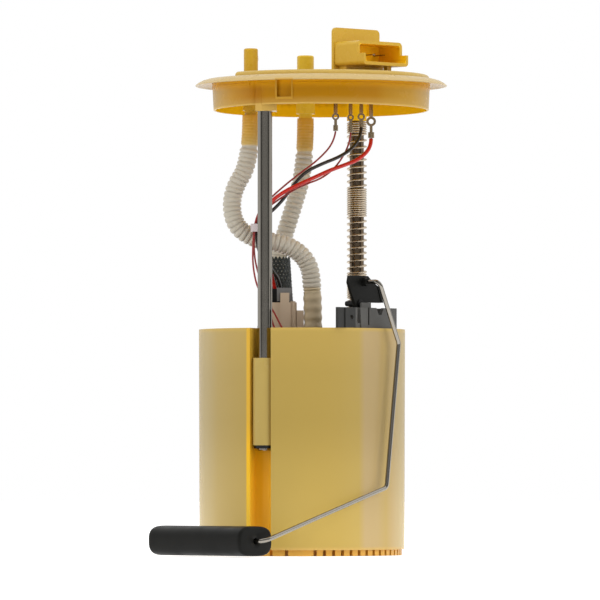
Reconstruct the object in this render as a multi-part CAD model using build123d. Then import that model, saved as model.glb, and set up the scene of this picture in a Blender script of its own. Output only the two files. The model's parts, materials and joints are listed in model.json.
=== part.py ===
from build123d import *
import os
from math import cos, pi, radians, sin, tan

# In-tank fuel pump module: an open swirl pot that stands on the tank floor and holds
# the electric pump, a flange that closes the tank's opening and slides towards the pot
# on two sprung rods, the hoses and wires between them, and a float level sender.
#
# Millimetres. Origin: centre of the pot's foot, on the tank floor. +Z up, -Y front.
# An azimuth is an angle from the front (-Y) towards +X.

# ---------------------------------------------------------------- driving dimensions
FOOT_HEIGHT = 3.3
FOOT_OUTER_R = 55.3
FOOT_INNER_R = 49.0
FOOT_SLOT_WIDTH = 1.8
FOOT_SLOT_STEP = 5.4          # degrees between slots
FOOT_SLOT_ROOT_R = 51.2

POT_TOP = 124.7
POT_R_BOTTOM = 56.7
POT_R_TOP = 57.1
POT_WALL = 2.3
POT_FLOOR = 2.5
POT_FLOOR_TOP = FOOT_HEIGHT + POT_FLOOR

ROD_R = 4.0
ROD_BOTTOM = 57.6
FRONT_ROD = (-20.3, -46.7)
REAR_ROD = (30.7, 35.5)
ROD_CLEARANCE = 0.08
NOTCH_AZIMUTH = -25.65
NOTCH_HALF_WIDTH = 6.25
NOTCH_WALL = 2.0
GUIDE_BOTTOM = 60.5
FRONT_GUIDE_TOP = 108.2
REAR_GUIDE_TOP = 120.0
REAR_SLEEVE_R = 6.2
REAR_AZIMUTH = 139.1
CLIP_THICK = 1.6
CLIP_GROOVE_R = 3.2

FLANGE = (10.6, -3.0)         # the flange sits to one side of the pot
LIP_R = 70.0
LIP_BOTTOM = 259.4            # the lip droops: its rim is the lowest part of it
LIP_TOP = 263.2
LIP_ROOT = 261.7              # underside of the lip where it leaves the skirt
SKIRT_BOTTOM = 246.1          # at the middle; the lower edge slopes down to the rear
SKIRT_SLOPE = 0.6             # degrees
SKIRT_R_TOP = 60.4
SKIRT_R_BOTTOM = 59.6
SKIRT_WALL = 1.1
PLATEAU_TOP = 265.5
PLATEAU_R = 60.0
PLATEAU_CHORD = -47.2         # the plateau is cut off this far left of the flange centre
CEILING = 260.2               # underside of the lid inside the skirt
FRONT_BOSS_BOTTOM = 243.3
REAR_BOSS_BOTTOM = 242.3
REAR_BOSS_R = 5.55
ROD_TOP = 258.0

FEED_PORT = (-28.25, -12.0)
FEED_SPIGOT_R = 3.9
FEED_PIPE_HEIGHT = 275.7
FEED_SPIGOT_TOP = 279.9
RETURN_PORT = (1.95, 22.0)
RETURN_SPIGOT_R = 4.7
RETURN_PIPE_HEIGHT = 273.5
RETURN_SPIGOT_TOP = 278.1
NIPPLE_BOTTOM = 225.0
NIPPLE_SIZES = (3.3, 3.7)     # radius of the feed nipple and of the return nipple
HOSE_TOP = 243.0
PIPE_R = 3.945                # both pipes take a 7.89 mm push-on coupling
PIPE_GROOVE_R = 3.45
PIPE_LENGTH = 27.0
FEED_BORE_R = 2.4
RETURN_BORE_R = 2.6

CONNECTOR = (17.4, -22.0)     # left end of the connector's back plate
PLATE_LENGTH = 36.3
PLATE_THICK = 1.6
PLATE_TOP = 291.0
SHROUD = (0.8, 36.0)          # from and to, along the back plate
SHROUD_BOTTOM = 269.7
SHROUD_STEP = 276.0
SHROUD_TOP = 283.2
SHROUD_REACH = 17.7
SHROUD_LOWER_REACH = 22.4
SHROUD_WALL = 1.8
PIN_PLACES = (2.4, 14.2, 22.6, 30.4)
PIN_DEPTH = -0.8              # the pins run down inside the back plate
PIN_WIDTH = 2.4
PIN_THICK = 0.6
LUG_TOPS = (243.8, 243.6, 244.6, 242.9)
LUG_SIZES = (2.0, 1.8, 2.1, 2.7)
WIRE_TOPS = (233.9, 233.7, 236.8, 231.0)

PUMP = (-4.0, 4.0)
PUMP_R = 19.0
PUMP_WALL = 1.0
PUMP_BOTTOM = 26.0
PUMP_TOP = 98.0
SHAFT_R = 2.0
BEARING_CLEARANCE = 0.05
IMPELLER_R = 15.0
ARMATURE_R = 13.6
COMMUTATOR_R = 6.0

HOLDER_RING_R = 23.0
HOLDER_BOTTOM = 88.0
HOLDER_PLATE = (104.0, 107.0)
NECK_X = (-23.5, -2.9)
NECK_Y = (-9.0, 9.0)
NECK_TOP = 139.6
OUTLET = (6.1, -6.0)
OUTLET_TOP = 145.0
VALVE_SEAT = 112.0
PLUG_TOP = 147.2

RISER = (-14.5, 27.0)
RISER_R = 3.8
RISER_TOP = 134.0
SLEEVE_BOTTOM = 116.0
SLEEVE_TOP = 165.6
SLEEVE_R_BOTTOM = 10.4
SLEEVE_R_TOP = 7.8

FEED_HOSE_R = 4.7
FEED_HOSE_BORE_R = 3.5
RETURN_HOSE_R = 4.6
RETURN_HOSE_BORE_R = 3.85
THIN_WIRE_R = 0.5
BLACK_WIRE_R = 0.95
RED_WIRE_R = 1.1
BUNDLE = (-24.6, -20.5)       # where the four wires pass the hose clip
BUNDLE_HEIGHT = (178.2, 182.6)
EYE_SIZES = (3.7, 3.0)        # outer and inner radius of the clip's eye
FIT = 0.03                    # play between parts that are glued or clipped together

SPRING_R = 5.05               # to the middle of the wire
SPRING_WIRE_R = 0.6
SPRING_BOTTOM = 120.0

SENDER_AZIMUTH = 45.0
PIVOT_ACROSS = -5.3           # along the sender's face, and up
PIVOT_HEIGHT = 138.3
ARM_WIRE_R = 1.2
ARM_ROOT = (-2.2, 150.1)       # where the wire leaves its holder
ARM_PLANE_R = 62.0            # the wire swings in a plane this far from the pot's axis
FLOAT_ACROSS = -91.0
FLOAT_HEIGHT = 8.7
FLOAT_SIZE = (25.0, 16.2, 71.3)
FLOAT_NEAR_R = 56.0

# The feed hose bends about as tightly as a corrugated hose of its size does.
FEED_ROUTE = [
    (-28.25, -12.0, 243.0), (-28.25, -12.0, 217.5), (-39.3, -12.0, 200.0),
    (-37.9, -12.0, 182.0), (-25.2, -11.0, 173.8), (-9.0, -10.0, 172.4), (3.8, -7.0, 163.0),
    (6.1, -6.0, 146.0), (6.1, -6.0, 121.0),
]
RETURN_ROUTE = [
    (1.95, 22.0, 243.0), (1.95, 22.0, 216.0), (-5.6, 24.0, 191.0), (-10.8, 25.6, 175.0),
    (-14.5, 27.0, 160.0), (-14.5, 27.0, 116.2),
]
SENDER_SIGNAL_ROUTE = [
    (18.5, -19.7, 233.7), (17.62, -20.06, 227.36), (8.97, -20.75, 217.91),
    (-1.18, -21.53, 210.4), (-10.5, -21.23, 203.07), (-21.5, -21.35, 192.99),
    (-26.02, -21.95, 184.58), (-27.16, -21.54, 170.04), (-27.08, -20.4, 158.45),
    (-24.3, -19.49, 145.88), (-16.25, -18.55, 135.8), (-11.24, -19.34, 125.48),
    (-2.63, -24.19, 111.35), (6.6, -30.52, 109.65), (17.6, -28.9, 110.0),
    (22.63, -33.94, 110.0),
]
SENDER_GROUND_ROUTE = [
    (26.9, -11.4, 233.5), (26.54, -11.24, 227.32), (20.16, -11.1, 215.83),
    (11.77, -15.44, 208.14), (0.34, -20.41, 203.92), (-9.49, -21.25, 198.43),
    (-23.0, -20.16, 188.69), (-26.16, -20.44, 181.72), (-26.58, -19.88, 166.12),
    (-24.32, -18.57, 155.56), (-20.03, -17.28, 143.36), (-17.4, -16.65, 131.3),
    (-12.91, -18.49, 119.48), (-6.35, -23.35, 109.66), (3.58, -30.09, 104.91),
    (13.8, -30.77, 103.0), (19.8, -36.77, 103.0),
]
PUMP_GROUND_ROUTE = [
    (32.8, -5.45, 236.6), (32.43, -6.48, 231.41), (27.62, -11.75, 224.34),
    (20.26, -17.26, 219.47), (11.43, -19.76, 215.95), (1.9, -19.1, 211.47),
    (-4.73, -18.75, 204.27), (-10.09, -18.8, 196.22), (-18.3, -18.9, 187.95),
    (-25.14, -18.91, 184.29), (-24.84, -19.13, 170.76), (-21.98, -17.9, 163.41),
    (-16.15, -10.39, 156.93), (-12.57, -2.71, 152.14), (-11.9, 0.3, 148.0),
]
PUMP_SUPPLY_ROUTE = [
    (38.3, 0.06, 230.5), (38.25, -1.98, 225.57), (31.69, -6.05, 218.85),
    (23.47, -10.71, 215.46), (15.61, -16.24, 212.45), (7.21, -20.06, 208.38),
    (-1.51, -22.94, 204.3), (-10.45, -23.79, 199.93), (-18.5, -22.96, 193.77),
    (-23.55, -21.95, 184.96), (-22.96, -20.49, 174.94), (-20.25, -15.89, 166.18),
    (-18.2, -9.05, 159.11), (-16.04, -2.56, 152.01), (-14.9, 0.4, 148.0),
]


# ------------------------------------------------------------------ shape helpers
def block(x_low, x_high, y_low, y_high, z_low, z_high):
    """Box between its low and high faces."""
    size = (x_high - x_low, y_high - y_low, z_high - z_low)
    middle = ((x_low + x_high) / 2, (y_low + y_high) / 2, (z_low + z_high) / 2)
    return Pos(*middle) * Box(*size)


def rod(radius, z_low, z_high, centre=(0.0, 0.0)):
    """Upright cylinder."""
    height = z_high - z_low
    return Pos(centre[0], centre[1], z_low + height / 2) * Cylinder(radius, height)


def tube(outer, inner, z_low, z_high, centre=(0.0, 0.0)):
    """Upright tube."""
    return rod(outer, z_low, z_high, centre) - rod(inner, z_low, z_high, centre)


def cone(r_low, r_high, z_low, z_high, centre=(0.0, 0.0)):
    """Upright cone frustum."""
    height = z_high - z_low
    return Pos(centre[0], centre[1], z_low + height / 2) * Cone(r_low, r_high, height)


def at_azimuth(radius, azimuth):
    """Plan position at a radius and an azimuth."""
    return radius * sin(radians(azimuth)), -radius * cos(radians(azimuth))


def between(start, end, radius):
    """Cylinder from one point to another."""
    along = Vector(*end) - Vector(*start)
    face = Plane(origin=start, z_dir=along) * Circle(radius)
    return extrude(face, along.length)


def route_path(points):
    """Straight runs joined by tangent arcs as large as the two runs allow."""
    places = [Vector(*point) for point in points]
    runs = [b - a for a, b in zip(places, places[1:])]
    radii = []
    for run, following in zip(runs, runs[1:]):
        half_turn = radians(run.get_angle(following)) / 2
        radii.append(0.45 * min(run.length, following.length) / tan(half_turn))
    return FilletPolyline(*points, radius=radii), radii


def along_route(name, points, outer, bore=0.0):
    """Tube or wire along a route; prints its length, volume ratio and tightest arc."""
    path, radii = route_path(points)
    start = Plane(origin=path @ 0, z_dir=path % 0)
    solid = sweep(start * Circle(outer), path=path)
    section = pi * outer ** 2
    if bore:
        solid -= sweep(start * Circle(bore), path=path)
        section -= pi * bore ** 2
    ratio = solid.volume / (section * path.length)
    print(f"{name}: length {path.length:.1f}, volume ratio {ratio:.4f}, "
          f"radii {[round(r, 1) for r in radii]}")
    return solid, path


# ----------------------------------------------------------------------- the pot
def notch_prism(half_width, z_low, z_high):
    """Round-ended slot that opens outwards, centred on the front rod."""
    reach = 20.0
    slot = block(-half_width, half_width, -reach, 0, z_low, z_high)
    slot += rod(half_width, z_low, z_high)
    return Pos(*FRONT_ROD, 0) * Rot(0, 0, NOTCH_AZIMUTH) * slot


def pot_solid(inset=0.0):
    """The pot's outer cone, shrunk by an inset."""
    return cone(POT_R_BOTTOM - inset, POT_R_TOP - inset, FOOT_HEIGHT, POT_TOP)


FILL_VALVE = (0.0, -33.0)
FILL_VALVE_R = 8.0
FILL_HOLE_CIRCLE_R = 5.2


def reservoir_pot():
    pot = pot_solid() - (pot_solid(POT_WALL) & block(-60, 60, -60, 60, POT_FLOOR_TOP, POT_TOP))
    pot += notch_prism(NOTCH_HALF_WIDTH + NOTCH_WALL, FOOT_HEIGHT, POT_TOP) & pot_solid()
    pot -= notch_prism(NOTCH_HALF_WIDTH, FOOT_HEIGHT, POT_TOP)
    rear_web = Rot(0, 0, REAR_AZIMUTH) * block(-4.0, 4.0, -54.8, -50.0, 62.0, 118.0)
    pot += rear_web - rod(REAR_SLEEVE_R + FIT, 62.0, 118.0, REAR_ROD)
    pot -= rod(2.05, FOOT_HEIGHT, POT_FLOOR_TOP, FILL_VALVE)
    for place in PolarLocations(FILL_HOLE_CIRCLE_R, 6):
        pot -= Pos(*FILL_VALVE, 0) * place * rod(1.5, FOOT_HEIGHT, POT_FLOOR_TOP)
    return pot


def foot_ring():
    """Slotted ring: fuel runs in under the pot between its teeth."""
    ring = tube(FOOT_OUTER_R, FOOT_INNER_R, 0, FOOT_HEIGHT)
    first = -8.8
    count = int(360 / FOOT_SLOT_STEP)
    plain = (1, 2)
    slot = block(-FOOT_SLOT_WIDTH / 2, FOOT_SLOT_WIDTH / 2,
                 -FOOT_OUTER_R - 1, -FOOT_SLOT_ROOT_R, 0, FOOT_HEIGHT)
    for index in range(count):
        if index not in plain:
            ring -= Rot(0, 0, first + index * FOOT_SLOT_STEP) * slot
    return ring


def fill_valve():
    """Rubber umbrella valve in the pot's floor."""
    valve = rod(FILL_VALVE_R, POT_FLOOR_TOP, POT_FLOOR_TOP + 1.2, FILL_VALVE)
    valve += rod(2.0, FOOT_HEIGHT, POT_FLOOR_TOP, FILL_VALVE)
    valve += rod(2.9, 1.2, FOOT_HEIGHT, FILL_VALVE)
    return valve


def front_guide_sleeve():
    sleeve = rod(6.6, GUIDE_BOTTOM, FRONT_GUIDE_TOP, FRONT_ROD)
    sleeve &= notch_prism(NOTCH_HALF_WIDTH - 0.03, GUIDE_BOTTOM, FRONT_GUIDE_TOP)
    return sleeve - rod(ROD_R + ROD_CLEARANCE, GUIDE_BOTTOM, FRONT_GUIDE_TOP, FRONT_ROD)


def rear_guide_sleeve():
    return tube(REAR_SLEEVE_R, ROD_R + ROD_CLEARANCE, GUIDE_BOTTOM, REAR_GUIDE_TOP, REAR_ROD)


# ---------------------------------------------------------------- the guide rods
def guide_rod(centre):
    groove_top = GUIDE_BOTTOM - 0.1
    groove_bottom = groove_top - CLIP_THICK
    guide = rod(ROD_R, ROD_BOTTOM, ROD_TOP, centre)
    guide -= tube(ROD_R + 1, CLIP_GROOVE_R, groove_bottom, groove_top, centre)
    return chamfer(guide.edges().sort_by(Axis.Z)[0], 0.4)


def rod_clip(centre):
    """E-clip in the rod's groove: it stops the rod at the sleeve's lower end."""
    groove_top = GUIDE_BOTTOM - 0.1
    groove_bottom = groove_top - CLIP_THICK
    ring = tube(5.9, CLIP_GROOVE_R + 0.02, groove_bottom, groove_top)
    ring -= block(-2.6, 2.6, 0, 8, groove_bottom, groove_top)
    return Pos(centre[0], centre[1], 0) * ring


# --------------------------------------------------------------------- the flange
LIP_PROFILE = [(0, CEILING), (59, CEILING), (59, LIP_ROOT), (60.3, LIP_ROOT), (64, 261.0),
               (67, 260.05), (68.4, LIP_BOTTOM), (69.5, LIP_BOTTOM), (69.75, 259.75),
               (68.2, 261.0), (66.2, 262.1), (63.4, 262.9), (60, LIP_TOP), (0, LIP_TOP)]
WINDOW = (-24.3, -16.5, 250.6, 260.9)     # the window in the skirt's front, from the centre
GAP_AZIMUTH = -36.85                      # the skirt's gap, and how far it runs each way
GAP_HALF = 4.0


def lip_and_lid():
    """Lid with a thin lip that droops to its rim."""
    outline = make_face(Plane.XZ * Polyline(*LIP_PROFILE, close=True))
    return revolve(outline, Axis.Z)


def skirt():
    """Thin wall under the lid, with a gap and a framed window in its front."""
    low = SKIRT_BOTTOM - 2
    slope = (SKIRT_R_TOP - SKIRT_R_BOTTOM) / (LIP_ROOT - SKIRT_BOTTOM)
    r_low = SKIRT_R_BOTTOM - 2 * slope
    wall = cone(r_low, SKIRT_R_TOP, low, LIP_ROOT)
    wall += tube(SKIRT_R_TOP + 0.15, SKIRT_R_TOP - 1, 257.6, 258.6)
    x_low, x_high, z_low, z_high = WINDOW
    wall += (block(x_low - 0.8, x_high + 0.8, -66, -50, z_low - 1.5, LIP_ROOT)
             & cone(r_low + 0.45, SKIRT_R_TOP + 0.45, low, LIP_ROOT))
    wall -= block(x_low, x_high, -66, -50, z_low, z_high)
    wall -= cone(r_low - SKIRT_WALL, SKIRT_R_TOP - SKIRT_WALL, low, LIP_ROOT)
    wall += (block(x_low - 0.8, x_high + 0.8, -66, -50, z_low - 1.5, LIP_ROOT)
             & tube(SKIRT_R_BOTTOM - 0.8, SKIRT_R_BOTTOM - 1.9, low, LIP_ROOT))
    wall -= Rot(0, 0, GAP_AZIMUTH) * block(-GAP_HALF, GAP_HALF, -70, -50, low, LIP_ROOT)
    curl = tube(5.0, 3.9, low, LIP_ROOT) & block(0, 6, -6, 0, low, LIP_ROOT)
    wall += Rot(0, 0, GAP_AZIMUTH) * Pos(-GAP_HALF, -54.85, 0) * curl
    below = Rot(-SKIRT_SLOPE, 0, 0) * block(-70, 70, -70, 70, -10, 0)
    return wall - Pos(0, 0, SKIRT_BOTTOM) * below


def flange_cover():
    plateau = rod(PLATEAU_R, LIP_TOP, PLATEAU_TOP)
    plateau -= block(-80, PLATEAU_CHORD, -80, 80, LIP_TOP, PLATEAU_TOP)
    plateau = fillet(plateau.edges().group_by(Axis.Z)[-1], 2.0)
    cover = Pos(*FLANGE, 0) * (lip_and_lid() + plateau + skirt())
    front_boss = block(FRONT_ROD[0] - 5.2, FRONT_ROD[0] + 6.5,
                       FRONT_ROD[1] - 5.4, FRONT_ROD[1] + 6.5, FRONT_BOSS_BOTTOM, CEILING)
    cover += front_boss & rod(SKIRT_R_BOTTOM - 0.6, FRONT_BOSS_BOTTOM, CEILING, FLANGE)
    cover += rod(REAR_BOSS_R, REAR_BOSS_BOTTOM, CEILING, REAR_ROD)
    for centre in (FRONT_ROD, REAR_ROD):
        cover -= rod(ROD_R, REAR_BOSS_BOTTOM - 1, ROD_TOP, centre)
    cover -= rod(FEED_SPIGOT_R + 0.6, CEILING, PLATEAU_TOP, FEED_PORT)
    cover -= rod(RETURN_SPIGOT_R + 0.6, CEILING, PLATEAU_TOP, RETURN_PORT)
    for place in PIN_PLACES:
        cover -= pin_stem(place, CEILING, PLATEAU_TOP)
    return cover


def fuel_port(centre, spigot_r, spigot_top, pipe_z, nipple_r, bore_r):
    """Tower on the lid with a pipe to the rear, and a nipple for the hose below."""
    x, y = centre
    port = rod(spigot_r, PLATEAU_TOP, spigot_top, centre)
    port = fillet(port.edges().sort_by(Axis.Z)[-1], 1.0)
    port += rod(spigot_r + 0.6, HOSE_TOP + 2.5, PLATEAU_TOP, centre)
    port += rod(nipple_r, NIPPLE_BOTTOM, HOSE_TOP + 2.5, centre)
    end = y + PIPE_LENGTH
    port += between((x, y, pipe_z), (x, end, pipe_z), PIPE_R)
    port -= (between((x, end - 7.5, pipe_z), (x, end - 5.5, pipe_z), PIPE_R + 1)
             - between((x, end - 7.5, pipe_z), (x, end - 5.5, pipe_z), PIPE_GROOVE_R))
    port -= rod(bore_r, NIPPLE_BOTTOM, pipe_z, centre)
    return port - between((x, y, pipe_z), (x, end, pipe_z), bore_r)


def connector_block(along_low, along_high, out_low, out_high, z_low, z_high):
    """Box in the connector's own frame: along its back plate, and out of its mouth."""
    frame = Plane(origin=(*CONNECTOR, 0), x_dir=(1, 1, 0), z_dir=(0, 0, 1))
    return frame * block(along_low, along_high, -out_high, -out_low, z_low, z_high)


def pin_stem(place, z_low, z_high, slack=0.0):
    half = PIN_WIDTH / 2 + slack
    depth = PIN_THICK / 2 + slack
    return connector_block(place - half, place + half,
                           PIN_DEPTH - depth, PIN_DEPTH + depth, z_low, z_high)


PIN_LEVEL = 276.5


def pin_blade(place):
    """The part of a pin that stands out inside the socket."""
    place = max(place, SHROUD[0] + SHROUD_WALL + 1.4)
    return connector_block(place - 1.0, place + 1.0, PIN_DEPTH, 9.0,
                           PIN_LEVEL - PIN_THICK / 2, PIN_LEVEL + PIN_THICK / 2)


def pin_x_y(place):
    """Plan position of a pin's stem."""
    slant = sin(radians(45))
    return (CONNECTOR[0] + slant * (place + PIN_DEPTH),
            CONNECTOR[1] + slant * (place - PIN_DEPTH))


def connector_shell():
    """Back plate and an open shroud whose lower half stands further out."""
    plate = connector_block(0, PLATE_LENGTH, -PLATE_THICK, 0, PLATEAU_TOP, PLATE_TOP)
    upright = plate.edges().filter_by(Axis((0, 0, 0), (1, -1, 0)))
    plate = fillet(upright.group_by(Axis.Z)[-1], 2.6)
    upper = connector_block(*SHROUD, 0, SHROUD_REACH, SHROUD_STEP, SHROUD_TOP)
    lower = connector_block(*SHROUD, 0, SHROUD_LOWER_REACH, SHROUD_BOTTOM, SHROUD_STEP)
    across = Axis((0, 0, 0), (1, -1, 0))
    upper = fillet(upper.edges().filter_by(across).group_by(Axis.Z)[-1], 2.6)
    lower = fillet(lower.edges().filter_by(across).group_by(Axis.Z)[0], 2.2)
    cavity = connector_block(SHROUD[0] + SHROUD_WALL, SHROUD[1] - SHROUD_WALL, 1.5,
                             SHROUD_LOWER_REACH, SHROUD_BOTTOM + SHROUD_WALL,
                             SHROUD_TOP - SHROUD_WALL)
    cavity = fillet(cavity.edges().filter_by(across), 1.6)
    shell = plate + upper + lower - cavity
    shell += connector_block(4.0, 33.0, 0, 6.0, PLATEAU_TOP, SHROUD_BOTTOM)
    shell += connector_block(26.4, 29.6, 12.6, 15.6, PLATEAU_TOP, SHROUD_BOTTOM)
    for place in PIN_PLACES:
        shell -= pin_stem(place, PLATEAU_TOP, PIN_LEVEL + PIN_THICK / 2)
        shell -= pin_blade(place)
    return shell


def terminal_pins():
    """Four L-shaped contacts, moulded into the connector."""
    pins = []
    for place, lug_top in zip(PIN_PLACES, LUG_TOPS):
        stem = pin_stem(place, lug_top, PIN_LEVEL + PIN_THICK / 2)
        pins.append(stem + pin_blade(place))
    return pins


def terminal_lug(place, top, size, bottom):
    """Ring tongue, neck and crimp barrel, hanging from a pin."""
    x, y = pin_x_y(place)
    ring_z = top - size
    ring = Pos(x, y, ring_z) * Rot(90, 0, 0) * (Cylinder(size, 0.8) - Cylinder(size * 0.5, 0.8))
    neck = block(x - 0.8, x + 0.8, y - 0.4, y + 0.4, bottom + 2.0, ring_z - size * 0.7)
    crimp = rod(size * 0.5 + 0.35, bottom, bottom + 3.2, (x, y))
    return ring + neck + crimp


def terminal_lugs():
    rows = zip(PIN_PLACES, LUG_TOPS, LUG_SIZES, WIRE_TOPS)
    return [terminal_lug(*row) for row in rows]


# ----------------------------------------------------------------------- the pump
def pump_rod(radius, z_low, z_high):
    return rod(radius, z_low, z_high, PUMP)


def pump_tube(outer, inner, z_low, z_high):
    return tube(outer, inner, z_low, z_high, PUMP)


PUMP_BORE_R = PUMP_R - PUMP_WALL
CAP_NECK_R = 16.4


def pump_shell():
    """Steel can, rolled in over both end caps."""
    can = pump_tube(PUMP_R, PUMP_BORE_R, PUMP_BOTTOM, PUMP_TOP)
    can += pump_tube(PUMP_R, CAP_NECK_R + FIT, PUMP_BOTTOM, PUMP_BOTTOM + PUMP_WALL)
    can += pump_tube(PUMP_R, CAP_NECK_R + FIT, PUMP_TOP - PUMP_WALL, PUMP_TOP)
    return can


INLET_OFFSET = 9.0


def pump_inlet_cap():
    inlet = (PUMP[0] + INLET_OFFSET, PUMP[1])
    cap = pump_rod(CAP_NECK_R, 20, 27) + pump_rod(PUMP_BORE_R - FIT, 27, 33)
    cap += rod(4.0, 14, 20, inlet)
    cap -= rod(2.6, 14, 33, inlet)
    return cap - pump_rod(SHAFT_R + BEARING_CLEARANCE, 28, 33)


def impeller_cover():
    """Chamber wall round the impeller and the plate above it."""
    outlet = (PUMP[0] - INLET_OFFSET, PUMP[1])
    cover = pump_rod(PUMP_BORE_R - FIT, 33, 41) - pump_rod(IMPELLER_R + 0.3, 33, 37.4)
    cover -= rod(2.6, 33, 41, outlet)
    return cover - pump_rod(SHAFT_R + BEARING_CLEARANCE, 37, 41)


def pump_impeller():
    wheel = pump_rod(IMPELLER_R, 33.2, 37.2)
    vane_gap = block(12.2, IMPELLER_R + 1, -0.9, 0.9, 35.0, 37.2)
    for index in range(24):
        wheel -= Pos(*PUMP, 0) * Rot(0, 0, index * 15) * vane_gap
    return wheel - pump_rod(SHAFT_R, 33.2, 37.2)


def pump_magnets():
    """Two arc magnets inside the can."""
    ring = pump_tube(PUMP_BORE_R - FIT, 14.4, 45, 84)
    gap = block(-30, 30, -4, 4, 45, 84)
    ring -= Pos(*PUMP, 0) * gap
    return ring.solids()


def pump_armature():
    """Shaft, wound core and commutator."""
    core = pump_rod(ARMATURE_R, 50, 78)
    slot = block(9.5, ARMATURE_R + 1, -1.2, 1.2, 50, 78)
    for index in range(8):
        core -= Pos(*PUMP, 0) * Rot(0, 0, index * 45) * slot
    core += pump_rod(11.8, 46, 50) + pump_rod(11.8, 78, 81)
    core += pump_rod(COMMUTATOR_R, 81, 90)
    return core + pump_rod(SHAFT_R, 29, 94)


NIPPLE = (-11.0, -4.0)


def pump_outlet_cap():
    cap = pump_rod(PUMP_BORE_R - FIT, 86, 97) + pump_rod(CAP_NECK_R, 97, 104)
    cap += rod(4.0, 104, 112, NIPPLE)
    cap -= pump_rod(COMMUTATOR_R + 0.8, 86, 91)
    cap -= pump_rod(SHAFT_R + BEARING_CLEARANCE, 91, 95)
    cap -= Pos(*PUMP, 0) * block(-11.1, 11.1, -2.1, 2.1, 86, 90.2)
    return cap - rod(2.4, 86, 112, NIPPLE)


def pump_brushes():
    """Carbon brushes either side of the commutator."""
    one = block(COMMUTATOR_R + 0.1, 11.0, -2.0, 2.0, 86.2, 90.0)
    return [Pos(*PUMP, 0) * Rot(0, 0, turn) * one for turn in (0, 180)]


def pump_isolator():
    return pump_tube(21.0, PUMP_R + FIT, 90, 100)


def inlet_strainer():
    """Flat fabric filter under the pump."""
    bag = pump_rod(18.5, POT_FLOOR_TOP, 14.0)
    return fillet(bag.edges(), 2.5)


def pump_holder():
    """Ring round the pump, three arms to the pot, and the outlet neck with its ribs."""
    holder = pump_tube(HOLDER_RING_R, 21.0 + FIT, HOLDER_BOTTOM, HOLDER_PLATE[0])
    holder += pump_rod(HOLDER_RING_R, *HOLDER_PLATE)
    for azimuth in (0, 115, 225):
        arm = block(-3, 3, -90, -22, 98, HOLDER_PLATE[0])
        holder += Pos(*PUMP, 0) * Rot(0, 0, azimuth) * arm
    reach = rod(POT_R_BOTTOM - POT_WALL - 0.1, HOLDER_BOTTOM, 200)
    holder &= reach
    neck = block(*NECK_X, *NECK_Y, HOLDER_PLATE[1], NECK_TOP)
    neck = fillet(neck.edges().filter_by(Axis.Z), 2.0)
    neck += block(-12.3, -6.2, NECK_Y[0] - 0.9, -6.6, HOLDER_PLATE[1], NECK_TOP)
    neck += block(-12.0, -7.0, NECK_Y[0] - 0.9, -7.4, NECK_TOP, 144.9)
    neck += block(-6.4, -3.6, -8.0, 4.0, NECK_TOP, 140.3)
    link = block(NECK_X[1], OUTLET[0], OUTLET[1] - 3.6, OUTLET[1] + 3.6, HOLDER_PLATE[1], 119.0)
    step = block(NECK_X[1], 1.0, -8.0, 1.0, HOLDER_PLATE[1], 135.2)
    holder += neck + link + step
    holder -= rod(RISER_R + 0.2, HOLDER_BOTTOM, HOLDER_PLATE[1], RISER)
    holder -= block(RISER[0] - 4.0, RISER[0] + 4.0, 20.0, 27.0, HOLDER_BOTTOM, HOLDER_PLATE[0])
    holder -= rod(5.3, HOLDER_PLATE[1] - 1, 121, OUTLET)
    holder -= rod(4.0 + FIT, HOLDER_PLATE[0], 113, NIPPLE)
    return holder - between((NIPPLE[0], NIPPLE[1], 110), (OUTLET[0], OUTLET[1], 109), 1.9)


def outlet_elbow():
    """Valve housing with the spigot that carries the feed hose."""
    elbow = rod(5.25, HOLDER_PLATE[1], 120.5, OUTLET) + rod(3.3, 120.5, OUTLET_TOP, OUTLET)
    elbow -= rod(1.8, 108.5, OUTLET_TOP, OUTLET)
    elbow -= rod(3.5, VALVE_SEAT, 119.0, OUTLET)
    return elbow - between((NIPPLE[0], NIPPLE[1], 110), (OUTLET[0], OUTLET[1], 109), 1.9)


def check_valve_poppet():
    poppet = rod(3.1, VALVE_SEAT + 0.02, VALVE_SEAT + 1.6, OUTLET)
    return poppet + rod(0.9, VALVE_SEAT + 1.6, 116.6, OUTLET)


def coil(radius, wire_r, z_low, z_high, turns, centre, start_angle=0.0):
    """Helical spring between two heights."""
    pitch = (z_high - z_low) / turns
    path = Helix(pitch, z_high - z_low, radius, center=(0, 0, z_low))
    section = Plane(origin=path @ 0, z_dir=path % 0) * Circle(wire_r)
    return Pos(centre[0], centre[1], 0) * Rot(0, 0, start_angle) * sweep(
        section, path=path, is_frenet=True)


def check_valve_spring():
    return coil(2.2, 0.25, VALVE_SEAT + 1.9, 118.7, 5, OUTLET)


def pump_plug():
    """Plug on the pump's contacts, where its two wires go in."""
    plug = block(-23.2, -5.6, -4.0, 5.0, NECK_TOP, PLUG_TOP)
    plug = fillet(plug.edges().filter_by(Axis.Z), 1.0)
    return plug - block(-6.5, -3.6, -8.0, 4.0, NECK_TOP, 140.4)


def plug_clip():
    """Grey lock over the plug's front."""
    clip = block(-13.9, -5.4, -6.3, -4.0, 140.4, PLUG_TOP + 0.6)
    clip -= block(-12.3, -7.0, -6.3, -4.0, 140.4, 144.9)
    clip += block(-9.9, -5.4, -4.0, 3.0, PLUG_TOP, PLUG_TOP + 0.6)
    return clip


# ------------------------------------------------------------- the return circuit
JET_Z = 12.0
JET_END = (-44.0, 16.0)


def jet_pump():
    """Venturi on the pot's floor, driven by the returning fuel."""
    body = between((*RISER, JET_Z), (*JET_END, JET_Z), 4.6)
    body += rod(6.2, POT_FLOOR_TOP, 18.0, RISER)
    body -= rod(RISER_R + FIT, 12.0, 18.0, RISER)
    return body - between((*RISER, JET_Z), (JET_END[0] - 3, JET_END[1] - 1.1, JET_Z), 1.6)


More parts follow.
